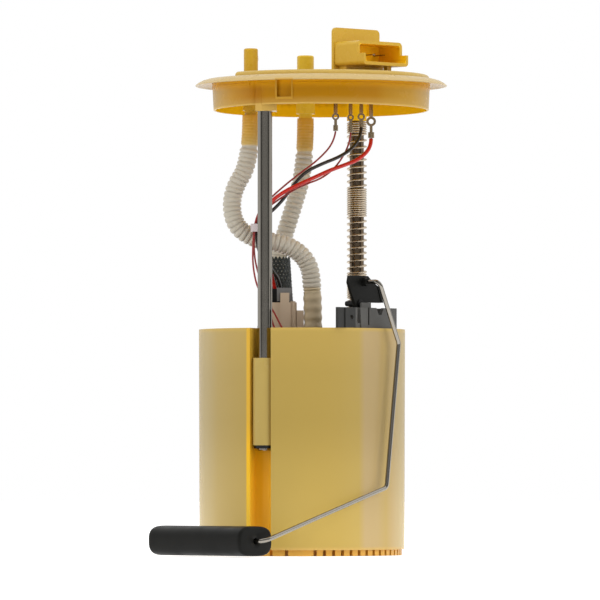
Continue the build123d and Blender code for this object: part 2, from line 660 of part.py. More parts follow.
def return_riser():
    """Pipe from the return hose down to the jet pump, with the mesh sleeve's seat."""
    riser = rod(RISER_R, 14.0, RISER_TOP, RISER)
    riser += rod(SLEEVE_R_BOTTOM, SLEEVE_BOTTOM - 2.5, SLEEVE_BOTTOM, RISER)
    return riser - rod(2.6, 14.0, RISER_TOP, RISER)


def hose_sleeve():
    """Braided sleeve over the return hose's lower end."""
    outer = cone(SLEEVE_R_BOTTOM, SLEEVE_R_TOP, SLEEVE_BOTTOM, SLEEVE_TOP, RISER)
    inner = cone(SLEEVE_R_BOTTOM - 0.7, SLEEVE_R_TOP - 0.7, SLEEVE_BOTTOM, SLEEVE_TOP, RISER)
    return outer - inner


# ---------------------------------------------------------------- the level sender
SENDER = Plane(origin=(0, 0, 0), x_dir=(1, 1, 0), z_dir=(1, -1, 0))
PIVOT = (PIVOT_ACROSS, PIVOT_HEIGHT)


def sender_block(across_low, across_high, z_low, z_high, r_low, r_high):
    """Box in the sender's frame: across its face, up, and out from the pot's axis."""
    return SENDER * block(across_low, across_high, z_low, z_high, r_low, r_high)


def sender_rod(radius, r_low, r_high, centre=PIVOT):
    """Cylinder whose axis points out from the pot."""
    return SENDER * rod(radius, r_low, r_high, centre)


def sender_prism(points, r_low, r_high, corner=0.0):
    """Outline in the sender's face, extruded outwards."""
    outline = make_face(Polyline(*points, close=True))
    if corner:
        outline = fillet(outline.vertices(), corner)
    solid = extrude(outline, r_high - r_low)
    return SENDER * Pos(0, 0, r_low) * solid


PLATE_R = (52.0, 54.2)
SENDER_TOP = 135.9


def sender_housing():
    """Box that hangs in the pot, with a ribbed plate that rests on the pot's rim."""
    box = sender_block(-17.0, 17.0, 96, POT_TOP, 40.0, 42.4)
    box += sender_block(-12.9, 17.0, POT_TOP, SENDER_TOP, 40.0, 42.4)
    box += sender_block(15.4, 17.0, 96, SENDER_TOP, 42.4, 51.0)
    box += sender_block(-17.0, -15.6, 96, 122, 42.4, 51.0)
    box += sender_block(-15.6, 15.4, 96, 98, 42.4, 51.0)
    box += sender_block(-15.6, 15.4, 98, 114, 49.6, 51.0)
    facet = sender_block(-25.6, -20.6, POT_TOP, SENDER_TOP, 51.6, 53.6)
    plate = sender_block(-20.6, -11.4, POT_TOP, SENDER_TOP, *PLATE_R)
    plate -= sender_rod(1.25, *PLATE_R, centre=(-15.7, 130.5))
    plate += sender_block(-11.4, -8.9, POT_TOP, 127.4, *PLATE_R)
    plate += sender_prism([(-9.0, POT_TOP), (-3.7, POT_TOP), (-3.7, SENDER_TOP), (-9.6, SENDER_TOP)],
                          52.2, 54.8)
    plate += sender_block(-7.0, 0.3, SENDER_TOP - 4, 138.7, 52.0, 53.2)
    plate += sender_block(-3.7, -2.0, POT_TOP, 126.4, *PLATE_R)
    plate += sender_block(-2.0, 15.2, POT_TOP, SENDER_TOP, *PLATE_R)
    end = sender_block(15.2, 19.8, POT_TOP, SENDER_TOP, 50.4, PLATE_R[1] - 0.3)
    notch = sender_prism([(3.6, SENDER_TOP), (9.4, SENDER_TOP), (7.6, 132.1), (5.4, 132.1)],
                         51, 55)
    box += facet + plate + end - notch
    box += sender_block(15.4, 17.0, POT_TOP, SENDER_TOP, 51.0, 52.0)
    return box - sender_rod(1.5, 40.0, 42.4)


def resistor_card():
    """Ceramic card that the wipers slide on."""
    card = sender_block(-12.9, 6.0, 124.9, 134.6, 42.4, 43.4)
    return card - sender_rod(3.2, 42.4, 43.4)


def pivot_pin():
    pin = sender_rod(1.5, 40.0, 50.7)
    pin += sender_rod(1.9, 42.4, 46.3)
    return pin + sender_rod(2.1, 50.6, 51.1)


def arm_holder():
    """Black arm that clips onto the float wire and turns on the pivot."""
    front = [(-13.7, 153.4), (0.8, 153.4), (3.4, 151.2), (9.0, 147.6), (12.4, 138.9),
             (0.2, 138.9), (-3.2, 133.6), (-7.6, 133.6), (-10.4, 140.6), (-12.2, 144.0),
             (-14.5, 149.6)]
    back = [(-11.3, 153.4)] + front[1:7] + [(-6.4, 133.6), (-9.6, 144.6), (-12.1, 150.0)]
    holder = sender_prism(front, 48.7, 50.5, corner=0.7)
    holder += sender_prism(back, 46.5, 48.9)
    holder += sender_rod(2.6, 46.5, 50.5)
    holder += sender_rod(2.3, 50.5, 53.4, centre=ARM_ROOT)
    holder += sender_prism([(8.0, 148.0), (9.0, 147.6), (12.4, 138.9), (11.0, 138.9)], 50.5, 51.0)
    holder -= sender_rod(1.5 + BEARING_CLEARANCE, 46.5, 50.5)
    return holder - sender_rod(ARM_WIRE_R, 47.0, 53.4, centre=ARM_ROOT)


def wiper_contacts():
    """Two spring fingers on the arm's inner face."""
    strip = sender_block(-3.0, 3.0, -9.5, -3.4, 46.2, 46.5)
    for across in (-2.0, 2.0):
        strip += sender_block(across - 0.7, across + 0.7, -13.0, -9.5, 46.2, 46.5)
        strip += sender_block(across - 0.7, across + 0.7, -13.0, -11.8, 43.5, 46.2)
    turn = SENDER * Pos(*PIVOT, 0) * Rot(0, 0, 28) * SENDER.location.inverse()
    return turn * strip


def sender_point(across, z, r):
    """A point in the sender's frame, as a place in the part's frame."""
    return tuple(SENDER.from_local_coords(Vector(across, z, r)))


ARM_ROUTE = [
    sender_point(*ARM_ROOT, 47.0),
    sender_point(*ARM_ROOT, ARM_PLANE_R),
    sender_point(13.0, 116.5, ARM_PLANE_R),
    sender_point(3.5, 37.5, ARM_PLANE_R),
    sender_point(FLOAT_ACROSS, FLOAT_HEIGHT, ARM_PLANE_R),
    sender_point(FLOAT_ACROSS, FLOAT_HEIGHT, -8.0),
]
ARM_BENDS = (3.2, 4.0, 3.0, 4.6)


def arm_wire():
    path = FilletPolyline(*ARM_ROUTE, radius=list(ARM_BENDS))
    return sweep(Plane(origin=path @ 0, z_dir=path % 0) * Circle(ARM_WIRE_R), path=path)


def float_body():
    """Closed-cell float that turns on the end of the wire."""
    width, height, length = FLOAT_SIZE
    body = SENDER * Pos(FLOAT_ACROSS, FLOAT_HEIGHT, FLOAT_NEAR_R - length / 2) * fillet(
        Box(width, height, length).edges().filter_by(Axis.Z), 6.6)
    body -= sender_rod(ARM_WIRE_R + 0.06, -9.0, FLOAT_NEAR_R, centre=(FLOAT_ACROSS, FLOAT_HEIGHT))
    return body - sender_rod(1.7, FLOAT_NEAR_R - 1.5, FLOAT_NEAR_R,
                             centre=(FLOAT_ACROSS, FLOAT_HEIGHT))


# ------------------------------------------------------------------ hoses and clips
CLIP_ALONG = 0.549            # share of the feed hose's length at its clip


def harness_clip(feed_path):
    """Clip with a ring round the feed hose and an eye for the four wires."""
    middle = feed_path @ CLIP_ALONG
    along = feed_path % CLIP_ALONG
    hose_frame = Plane(origin=middle, z_dir=along)
    ring = extrude(hose_frame * (Circle(5.8) - Circle(FEED_HOSE_R + 0.3)), 1.3, both=True)
    eye = tube(*EYE_SIZES, *BUNDLE_HEIGHT, BUNDLE)
    web = block(-22.4, -18.0, -18.6, -14.4, 176.2, 178.9)
    web -= hose_frame * rod(FEED_HOSE_R + 0.4, -9, 9)
    web -= rod(EYE_SIZES[1], 170, 180, BUNDLE)
    return ring + eye + web


def return_spring():
    """Spring between the rear sleeve and the flange, with two close-wound groups."""
    groups = ((120.7, 122.3, 1.25), (122.3, 142.5, 5.6), (142.5, 157.3, 12.0),
              (157.3, 188.9, 8.9), (188.9, 204.7, 12.8), (204.7, 235.0, 8.4),
              (235.0, 241.7, 5.3))
    solids = []
    angle = 0.0
    for z_low, z_high, turns in groups:
        solids.append(coil(SPRING_R, SPRING_WIRE_R, z_low, z_high, turns, REAR_ROD, angle))
        angle += 360.0 * turns
    return solids


# ------------------------------------------------------------------------- write out
def build():
    parts = {
        "reservoir_pot": reservoir_pot(),
        "foot_ring": foot_ring(),
        "fill_valve": fill_valve(),
        "front_guide_sleeve": front_guide_sleeve(),
        "rear_guide_sleeve": rear_guide_sleeve(),
        "front_guide_rod": guide_rod(FRONT_ROD),
        "rear_guide_rod": guide_rod(REAR_ROD),
        "rod_clips": [rod_clip(FRONT_ROD), rod_clip(REAR_ROD)],
        "flange_cover": flange_cover(),
        "feed_port": fuel_port(FEED_PORT, FEED_SPIGOT_R, FEED_SPIGOT_TOP, FEED_PIPE_HEIGHT,
                               NIPPLE_SIZES[0], FEED_BORE_R),
        "return_port": fuel_port(RETURN_PORT, RETURN_SPIGOT_R, RETURN_SPIGOT_TOP,
                                 RETURN_PIPE_HEIGHT, NIPPLE_SIZES[1], RETURN_BORE_R),
        "connector_shell": connector_shell(),
        "terminal_pins": terminal_pins(),
        "terminal_lugs": terminal_lugs(),
        "pump_shell": pump_shell(),
        "pump_inlet_cap": pump_inlet_cap(),
        "impeller_cover": impeller_cover(),
        "pump_impeller": pump_impeller(),
        "pump_magnets": pump_magnets(),
        "pump_armature": pump_armature(),
        "pump_outlet_cap": pump_outlet_cap(),
        "pump_brushes": pump_brushes(),
        "pump_isolator": pump_isolator(),
        "inlet_strainer": inlet_strainer(),
        "pump_holder": pump_holder(),
        "outlet_elbow": outlet_elbow(),
        "check_valve_poppet": check_valve_poppet(),
        "check_valve_spring": check_valve_spring(),
        "pump_plug": pump_plug(),
        "plug_clip": plug_clip(),
        "jet_pump": jet_pump(),
        "return_riser": return_riser(),
        "hose_sleeve": hose_sleeve(),
        "sender_housing": sender_housing(),
        "resistor_card": resistor_card(),
        "pivot_pin": pivot_pin(),
        "arm_holder": arm_holder(),
        "wiper_contacts": wiper_contacts(),
        "arm_wire": arm_wire(),
        "float": float_body(),
        "return_spring": return_spring(),
    }
    feed, feed_path = along_route("feed_hose", FEED_ROUTE, FEED_HOSE_R, FEED_HOSE_BORE_R)
    parts["feed_hose"] = feed
    parts["harness_clip"] = harness_clip(feed_path)
    parts["return_hose"] = along_route("return_hose", RETURN_ROUTE, RETURN_HOSE_R,
                                       RETURN_HOSE_BORE_R)[0]
    wires = (("sender_signal_wire", SENDER_SIGNAL_ROUTE, THIN_WIRE_R),
             ("sender_ground_wire", SENDER_GROUND_ROUTE, THIN_WIRE_R),
             ("pump_ground_wire", PUMP_GROUND_ROUTE, BLACK_WIRE_R),
             ("pump_supply_wire", PUMP_SUPPLY_ROUTE, RED_WIRE_R))
    for name, route, radius in wires:
        parts[name] = along_route(name, route, radius)[0]
    return parts


os.makedirs("parts", exist_ok=True)
for node, shape in build().items():
    if isinstance(shape, (list, ShapeList)):
        shape = Compound(children=[piece for item in shape for piece in item.solids()])
    export_step(shape, os.path.join("parts", f"{node}.step"))
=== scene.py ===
import json
from math import atan2, cos, pi, radians, sin, sqrt

import bmesh
import bpy
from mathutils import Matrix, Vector


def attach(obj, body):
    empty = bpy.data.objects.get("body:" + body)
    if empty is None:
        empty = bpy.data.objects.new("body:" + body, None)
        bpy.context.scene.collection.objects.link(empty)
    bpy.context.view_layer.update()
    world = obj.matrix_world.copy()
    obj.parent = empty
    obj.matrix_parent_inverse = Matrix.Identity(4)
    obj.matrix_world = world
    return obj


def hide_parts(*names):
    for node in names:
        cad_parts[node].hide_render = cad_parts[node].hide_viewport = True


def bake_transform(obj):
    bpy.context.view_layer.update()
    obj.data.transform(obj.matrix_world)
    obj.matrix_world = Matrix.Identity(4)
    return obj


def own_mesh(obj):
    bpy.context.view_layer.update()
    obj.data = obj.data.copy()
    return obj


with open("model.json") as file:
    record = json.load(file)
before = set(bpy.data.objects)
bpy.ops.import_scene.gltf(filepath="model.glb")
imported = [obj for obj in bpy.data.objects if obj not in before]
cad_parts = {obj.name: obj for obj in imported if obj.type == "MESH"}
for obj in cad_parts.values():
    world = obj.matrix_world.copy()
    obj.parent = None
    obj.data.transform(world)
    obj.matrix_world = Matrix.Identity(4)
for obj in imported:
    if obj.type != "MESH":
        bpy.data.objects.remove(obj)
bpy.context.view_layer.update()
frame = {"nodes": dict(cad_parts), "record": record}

# Routes, outlines and sizes are in millimetres, and the finishes' places in metres. The
# frame is the part's own: +Z up, -Y front, with the origin under the pot's centre.
MM = 0.001


# --------------------------------------------------------------------- node helpers
def linear(rgb):
    """sRGB 0 to 255 as linear 0 to 1."""
    scaled = [c / 255 for c in rgb]
    return tuple(c / 12.92 if c <= 0.04045 else ((c + 0.055) / 1.055) ** 2.4 for c in scaled)


class Nodes:
    """A material's node tree, with short calls for the nodes that the finishes share."""

    def __init__(self, tree):
        self.tree = tree

    def feed(self, value, socket):
        """Link another node's output to a socket, or set the socket to a value."""
        if hasattr(value, "is_linked"):
            self.tree.links.new(value, socket)
        else:
            socket.default_value = value

    def add(self, kind, inputs=(), **settings):
        node = self.tree.nodes.new(kind)
        for key, value in settings.items():
            setattr(node, key, value)
        for key, value in dict(inputs).items():
            self.feed(value, node.inputs[key])
        return node

    def place(self):
        return self.add("ShaderNodeTexCoord").outputs["Object"]

    def axes(self, vector):
        node = self.add("ShaderNodeSeparateXYZ", {0: vector})
        return [node.outputs[axis] for axis in "XYZ"]

    def scaled(self, vector, scale):
        return self.add("ShaderNodeMapping", {"Vector": vector, "Scale": scale}).outputs[0]

    def noise(self, vector, scale, detail=3.0):
        inputs = {"Vector": vector, "Scale": scale, "Detail": detail}
        return self.add("ShaderNodeTexNoise", inputs).outputs["Fac"]

    def math(self, operation, first, second):
        return self.add("ShaderNodeMath", {0: first, 1: second}, operation=operation).outputs[0]

    def both(self, *amounts):
        """Product of some amounts, which is 1 only where each of them is."""
        product = amounts[0]
        for amount in amounts[1:]:
            product = self.math("MULTIPLY", product, amount)
        return product

    def map(self, value, low, high, at_low, at_high, smooth=False):
        inputs = {"Value": value, "From Min": low, "From Max": high,
                  "To Min": at_low, "To Max": at_high}
        node = self.add("ShaderNodeMapRange", inputs)
        node.interpolation_type = "SMOOTHSTEP" if smooth else "LINEAR"
        return node.outputs[0]

    def rise(self, value, low, high, smooth=False):
        """0 up to low and 1 from high on."""
        return self.map(value, low, high, 0.0, 1.0, smooth)

    def fall(self, value, low, high, smooth=False):
        """1 up to low and 0 from high on."""
        return self.map(value, low, high, 1.0, 0.0, smooth)

    def ramp(self, value, stops):
        """Linear colours at positions from 0 to 1."""
        node = self.add("ShaderNodeValToRGB", {"Fac": value})
        points = node.color_ramp.elements
        while len(points) < len(stops):
            points.new(0.5)
        for point, (position, colour) in zip(points, stops):
            point.position = position
            point.color = (*colour, 1)
        return node.outputs["Color"]

    def shades(self, value, low, high, stops):
        """sRGB colours at positions from 0, where the value is low, to 1, where it is high."""
        return self.ramp(self.rise(value, low, high), [(p, linear(rgb)) for p, rgb in stops])

    def mix(self, amount, first, second, blend="MIX"):
        node = self.add("ShaderNodeMix", data_type="RGBA", blend_type=blend)
        self.feed(amount, node.inputs[0])
        for socket, colour in ((6, first), (7, second)):
            value = colour if hasattr(colour, "is_linked") else (*colour, 1)
            self.feed(value, node.inputs[socket])
        return node.outputs[2]

    def paint(self, amount, colour, rgb):
        """Cover a colour with one in sRGB, by an amount."""
        return self.mix(amount, colour, linear(rgb))

    def distance(self, vector, centre):
        """Distance in plan from an upright axis."""
        flat = self.scaled(vector, (1.0, 1.0, 0.0))
        return self.add("ShaderNodeVectorMath", {0: flat, 1: (*centre, 0.0)},
                        operation="DISTANCE").outputs["Value"]

    def bump(self, height, distance, strength):
        inputs = {"Height": height, "Distance": distance, "Strength": strength}
        return self.add("ShaderNodeBump", inputs).outputs[0]


def new_material(name):
    material = bpy.data.materials.new(name)
    material.use_nodes = True
    nodes = Nodes(material.node_tree)
    shader = material.node_tree.nodes["Principled BSDF"]
    return material, nodes, shader


def plastic(name, rgb, variation, roughness, spread=0.08, grain=900.0, depth=0.03,
            subsurface=0.0, radius=(0.004, 0.002, 0.001), specular=0.5, sheen=0.0, tint=None):
    """Moulded plastic: faint mottling, a fine moulded grain and uneven gloss.

    The grain's depth is in millimetres. A tint is a function that changes the mottled colour
    from place to place.
    """
    material, nodes, shader = new_material(name)
    base = linear(rgb)
    place = nodes.place()
    dark = tuple(c * (1 - variation) for c in base)
    light = tuple(min(1.0, c * (1 + variation)) for c in base)
    mottle = nodes.noise(place, scale=38.0, detail=4.0)
    colour = nodes.ramp(mottle, [(0.3, dark), (0.7, light)])
    if tint:
        colour = tint(nodes, place, colour)
    patches = nodes.noise(place, scale=90.0)
    gloss = nodes.map(patches, 0.3, 0.7, roughness - spread, roughness + spread)
    moulded = nodes.noise(place, scale=grain, detail=2.0)
    bump = nodes.bump(moulded, distance=depth * MM, strength=0.6)
    for socket, value in {
        "Base Color": colour, "Roughness": gloss, "Normal": bump,
        "Subsurface Weight": subsurface, "Subsurface Radius": radius, "Subsurface Scale": 1.0,
        "Specular IOR Level": specular, "Sheen Weight": sheen, "Sheen Roughness": 0.35,
    }.items():
        nodes.feed(value, shader.inputs[socket])
    return material


# How fine a metal's streaks are along each axis.
DRAWN = (500.0, 500.0, 10.0)
UNDIRECTED = (300.0, 300.0, 300.0)


def metal(name, rgb, roughness, streaks=UNDIRECTED, variation=0.12, depth=0.01, dirt=0.0):
    """Drawn or ground metal: fine streaks, uneven gloss and, with dirt, darker patches."""
    material, nodes, shader = new_material(name)
    base = linear(rgb)
    place = nodes.place()
    streak = nodes.noise(nodes.scaled(place, streaks), scale=1.0)
    blotch = nodes.noise(place, scale=60.0)
    dark = tuple(c * (1 - variation) for c in base)
    light = tuple(min(1.0, c * (1 + variation)) for c in base)
    colour = nodes.ramp(streak, [(0.3, dark), (0.7, light)])
    if dirt:
        grime = nodes.map(blotch, 0.55, 0.75, 0.0, dirt, smooth=True)
        colour = nodes.mix(grime, colour, tuple(c * 0.4 for c in base))
    gloss = nodes.map(blotch, 0.3, 0.7, roughness * 0.8, roughness * 1.25)
    bump = nodes.bump(streak, distance=depth * MM, strength=0.5)
    for socket, value in {
        "Base Color": colour, "Roughness": gloss, "Normal": bump, "Metallic": 1.0,
    }.items():
        nodes.feed(value, shader.inputs[socket])
    return material


# ---------------------------------------------------------------------------- tints
# The level sender and the connector face along the diagonal between +X and -Y.
DIAGONAL = sqrt(0.5)

POT_HALF_WIDTH = 0.0575
POT_HEIGHT = 0.125
ROD_SLOT = (-0.0222, -0.0470)

FLANGE_CENTRE = (0.0106, -0.003)
SKIRT_X = (-0.050, 0.072)
SKIRT_BOTTOM = 0.24607
SKIRT_SLOPE = 0.0105          # how far its lower edge falls for each metre to the rear

# The connector's cavity: how far out its frame starts, its heights, and its span along.
CAVITY_OUT = 0.02786
CAVITY_Z = (0.27150, 0.28140)
CAVITY_ALONG = (-0.00065, 0.03095)


def pot_tint(nodes, place, colour):
    """Painted light and shade: paler low down with painted light from the white floor, paler at
    its sides with a painted sheen, darker higher up with painted shade, and deeper amber in the
    slot for the front rod with a painted glow of light through the plastic.
    """
    x, y, z = nodes.axes(place)
    # Painted sheen and reflection: paler towards its left and right sides, with a pale reflected
    # band on its right.
    across = nodes.shades(x, -POT_HALF_WIDTH, POT_HALF_WIDTH, [
        (0.0, (190, 174, 138)), (0.03, (188, 170, 126)), (0.10, (189, 165, 106)),
        (0.2, (190, 164, 98)), (0.3, (191, 163, 86)), (0.68, (191, 163, 86)),
        (0.77, (192, 165, 92)), (0.8, (190, 166, 122)), (0.86, (188, 164, 118)),
        (0.9, (186, 160, 100)), (0.93, (187, 162, 114)), (1.0, (192, 176, 138))])
    # Painted shade: darker from about halfway up to just under the rim.
    level = nodes.ramp(nodes.rise(z, 0.0, POT_HEIGHT), [
        (0.0, (1.0, 1.0, 1.0)), (0.1, (1.0, 1.0, 1.0)), (0.4, (0.97, 0.96, 0.93)),
        (0.6, (0.9, 0.89, 0.84)), (0.8, (0.9, 0.89, 0.86)), (0.97, (0.98, 0.96, 0.94))])
    # The painted sheen covers only the front half.
    front = nodes.map(y, -0.030, 0.0, 0.9, 0.0, smooth=True)
    colour = nodes.mix(front, colour, across)
    colour = nodes.mix(1.0, colour, level, "MULTIPLY")
    # Painted light from the white floor: brighter low down.
    floor_light_mask = nodes.map(z, 0.0, 0.075, 0.95, 0.0, smooth=True)
    floor_light = nodes.mix(1.0, colour, (1.36, 1.36, 1.34), "MULTIPLY")
    colour = nodes.mix(floor_light_mask, colour, floor_light)
    foot = nodes.map(z, 0.0035, 0.0055, 0.8, 0.0, smooth=True)
    colour = nodes.paint(foot, colour, (236, 196, 112))
    rim = nodes.map(z, 0.1222, 0.1242, 0.0, 0.7, smooth=True)
    colour = nodes.paint(rim, colour, (204, 172, 90))
    # Painted glow of light through the thin plastic: brighter amber round the slot for the front
    # rod, brightest low down.
    slot = nodes.fall(nodes.distance(place, ROD_SLOT), 0.0078, 0.0088, smooth=True)
    amber = nodes.shades(z, 0.0, POT_HEIGHT, [
        (0.0, (255, 208, 72)), (0.3, (255, 202, 48)), (0.46, (250, 192, 32)),
        (0.6, (224, 176, 56)), (1.0, (222, 176, 60))])
    return nodes.mix(slot, colour, amber)


def flange_tint(nodes, place, colour):
    """Painted light: a painted sheen makes the skirt paler at its ends than in its deep amber
    middle, with painted light high on the skirt under the lip, a painted glow along its lower
    edge, a painted highlight on the lip's rim and painted light on the inside of the far wall.
    """
    x, y, z = nodes.axes(place)
    radius = nodes.distance(place, FLANGE_CENTRE)
    below_lip = nodes.fall(z, 0.2615, 0.2618)
    # Painted sheen: paler towards the skirt's ends.
    across = nodes.shades(x, *SKIRT_X, [
        (0.0, (190, 158, 92)), (0.1, (190, 140, 48)), (0.2, (172, 112, 18)),
        (0.25, (178, 122, 4)), (0.74, (178, 122, 4)), (0.79, (184, 134, 30)),
        (0.9, (188, 144, 54)), (1.0, (192, 160, 96))])
    colour = nodes.mix(below_lip, colour, across)
    # Painted light on the skirt's top, under the lip, where it lies in shade.
    high = nodes.both(nodes.map(z, 0.2545, 0.2600, 0.0, 0.9, smooth=True), below_lip)
    colour = nodes.paint(high, colour, (232, 168, 14))

    above_edge = nodes.math("ADD", z, nodes.math("MULTIPLY", y, SKIRT_SLOPE))
    above_edge = nodes.math("SUBTRACT", above_edge, SKIRT_BOTTOM)
    # Painted glow of light along the skirt's lower edge: a pale band and a paler line.
    painted_edge_glow = nodes.map(above_edge, 0.0012, 0.005, 0.45, 0.0, smooth=True)
    colour = nodes.paint(painted_edge_glow, colour, (196, 160, 84))
    painted_edge_line = nodes.map(above_edge, 0.0005, 0.0011, 0.9, 0.0, smooth=True)
    colour = nodes.paint(painted_edge_line, colour, (214, 176, 92))

    # Painted highlight on the lip's rim.
    rim = nodes.both(nodes.rise(radius, 0.0606, 0.0622, smooth=True),
                     nodes.fall(z, 0.2632, 0.2635))
    colour = nodes.paint(rim, colour, (206, 178, 118))
    window = nodes.both(nodes.rise(x, -0.0150, -0.0146), nodes.fall(x, -0.0052, -0.0048),
                        nodes.rise(z, 0.2485, 0.2489), nodes.fall(z, 0.2601, 0.2605),
                        nodes.map(radius, 0.0597, 0.0600, 0.0, 0.7))
    colour = nodes.paint(window, colour, (200, 152, 52))
    # Painted light on the inside of the far wall, coming through the translucent skirt.
    painted_inside_light = nodes.both(nodes.fall(radius, 0.0587, 0.0590),
                            nodes.fall(z, 0.2605, 0.2609), nodes.rise(y, -0.030, -0.025))
    return nodes.paint(painted_inside_light, colour, (255, 208, 24))


def connector_tint(nodes, place, colour):
    """Light that comes through the walls makes the inside of the shroud a brighter amber."""
    x, y, z = nodes.axes(place)
    out = nodes.math("MULTIPLY", nodes.math("SUBTRACT", x, y), DIAGONAL)
    along = nodes.math("MULTIPLY", nodes.math("ADD", x, y), DIAGONAL)
    edge = 0.00006
    inside = nodes.rise(out, CAVITY_OUT + 0.0013, CAVITY_OUT + 0.0014)
    for value, (low, high) in ((z, CAVITY_Z), (along, CAVITY_ALONG)):
        inside = nodes.both(inside, nodes.rise(value, low - edge, low),
                            nodes.fall(value, high, high + edge))
    return nodes.paint(inside, colour, (255, 206, 30))


def port_light_tint(nodes, place, colour):
    """Painted light: the return port, which stands further back in shade, is painted paler than
    the feed port, which stands left of it.
    """
    x, _, _ = nodes.axes(place)
    return nodes.paint(nodes.rise(x, -0.0140, -0.0110), colour, (231, 196, 62))


def sender_shade_tint(nodes, place, colour):
    """Painted shade: the plate's left part is painted darker than its right."""
    x, _, _ = nodes.axes(place)
    return nodes.paint(nodes.fall(x, 0.0290, 0.0296), colour, (44, 44, 42))


def liner_tint(nodes, place, colour):
    """The hose shows pale through the braid's upper end."""
    _, _, z = nodes.axes(place)
    return nodes.paint(nodes.rise(z, 0.148, 0.158, smooth=True), colour, (205, 205, 192))


def hose_tint(top, nipple_end, cuff_top=0.0):
    """The translucent hose is amber over a port's nipple, and tan over a pipe below."""
    edge = 0.0006

    def tint(nodes, place, colour):
        _, _, z = nodes.axes(place)
        amber = nodes.shades(z, nipple_end, top, [
            (0.0, (200, 168, 92)), (0.3, (196, 154, 62)), (1.0, (214, 160, 40))])
        colour = nodes.mix(nodes.rise(z, nipple_end - edge, nipple_end + edge), colour, amber)
        lower = nodes.map(z, cuff_top - edge, cuff_top + edge, 0.8, 0.0)
        return nodes.paint(lower, colour, (190, 170, 132))
    return tint


# ------------------------------------------------------------------------- finishes
CLEAR = {"variation": 0.012, "roughness": 0.24, "spread": 0.02, "grain": 120.0,
         "depth": 0.006, "specular": 0.2}
LID = {"variation": 0.02, "roughness": 0.28, "spread": 0.03, "grain": 200.0, "depth": 0.01,
       "specular": 0.25}
HOSE = {"rgb": (190, 182, 166), "variation": 0.02, "roughness": 0.36, "spread": 0.04,
        "grain": 400.0, "depth": 0.01, "subsurface": 0.15, "radius": (0.003, 0.0025, 0.0018)}
PLASTICS = {
    "pot_plastic": {**CLEAR, "rgb": (191, 163, 84), "sheen": 0.12, "tint": pot_tint},
    "foot_plastic": {"rgb": (240, 184, 74), "variation": 0.04, "roughness": 0.34,
                     "spread": 0.04, "grain": 300.0, "depth": 0.02},
    "flange_plastic": {**CLEAR, "rgb": (204, 172, 92), "variation": 0.015, "roughness": 0.26,
                       "spread": 0.03, "specular": 0.12, "tint": flange_tint},
    "port_plastic": {**LID, "rgb": (204, 162, 46), "tint": port_light_tint},
    "connector_plastic": {**LID, "rgb": (212, 172, 60), "tint": connector_tint},
    "holder_plastic": {"rgb": (194, 173, 148), "variation": 0.03, "roughness": 0.45,
                       "specular": 0.3},
    "inner_plastic": {"rgb": (205, 200, 186), "variation": 0.04, "roughness": 0.4},
    "sleeve_plastic": {**CLEAR, "rgb": (187, 161, 90), "roughness": 0.26},
    "black_plastic": {"rgb": (22, 22, 20), "variation": 0.12, "roughness": 0.36,
                      "specular": 0.14},
    "sender_plastic": {"rgb": (84, 83, 80), "variation": 0.05, "roughness": 0.42,
                       "specular": 0.3, "tint": sender_shade_tint},
    "grey_plastic": {"rgb": (112, 111, 109), "variation": 0.05, "roughness": 0.42},
    "clip_plastic": {"rgb": (196, 184, 184), "variation": 0.03, "roughness": 0.32,
                     "spread": 0.04},
    "hose_plastic": HOSE,
    "feed_hose_plastic": {**HOSE, "tint": hose_tint(0.243, 0.2262, 0.148)},
    "return_hose_plastic": {**HOSE, "tint": hose_tint(0.243, 0.2245)},
    "carbon": {"rgb": (30, 30, 30), "variation": 0.1, "roughness": 0.5},
    "ceramic": {"rgb": (215, 212, 205), "variation": 0.03, "roughness": 0.4},
    "rubber": {"rgb": (38, 38, 38), "variation": 0.1, "roughness": 0.6},
    "thin_wire": {"rgb": (142, 38, 34), "variation": 0.06, "roughness": 0.33},
    "black_wire": {"rgb": (38, 33, 29), "variation": 0.1, "roughness": 0.3},
    "red_wire": {"rgb": (196, 34, 24), "variation": 0.05, "roughness": 0.3},
    "float_foam": {"rgb": (24, 24, 22), "variation": 0.12, "roughness": 0.42,
                   "grain": 1400.0, "depth": 0.04, "specular": 0.12},
    "mesh": {"rgb": (32, 36, 33), "variation": 0.12, "roughness": 0.5, "grain": 2600.0,
             "depth": 0.04},
    "mesh_liner": {"rgb": (52, 54, 50), "variation": 0.05, "roughness": 0.5,
                   "tint": liner_tint},
    "strainer": {"rgb": (214, 214, 206), "variation": 0.04, "roughness": 0.7, "spread": 0.05,
                 "grain": 2600.0, "depth": 0.08},
}
GROUND = {"streaks": DRAWN, "variation": 0.05, "depth": 0.003}
METALS = {
    "steel": {**GROUND, "rgb": (150, 145, 136), "roughness": 0.1},
    "rear_steel": {**GROUND, "rgb": (112, 96, 78), "roughness": 0.12},
    "spring_steel": {"rgb": (184, 170, 150), "roughness": 0.24, "variation": 0.08,
                     "dirt": 0.3},
    "dark_steel": {"rgb": (50, 50, 50), "roughness": 0.4},
    "can_steel": {"rgb": (176, 176, 176), "roughness": 0.3, "streaks": DRAWN},
    "contact_metal": {"rgb": (150, 132, 104), "roughness": 0.24, "variation": 0.1},
    "magnet": {"rgb": (80, 78, 78), "roughness": 0.5},
    "rotor": {"rgb": (150, 100, 70), "roughness": 0.4},
}
MATERIALS = {name: plastic(name, **finish) for name, finish in PLASTICS.items()}
MATERIALS |= {name: metal(name, **finish) for name, finish in METALS.items()}


def dress(obj, finish):
    """Give an object one of the finishes above, on every slot it has."""
    if obj.material_slots:
        for place in obj.material_slots:
            place.material = MATERIALS[finish]
    else:
        obj.data.materials.append(MATERIALS[finish])


SLOT_OF = {row["node"]: row["material_slot"] for row in frame["record"]["subparts"]}
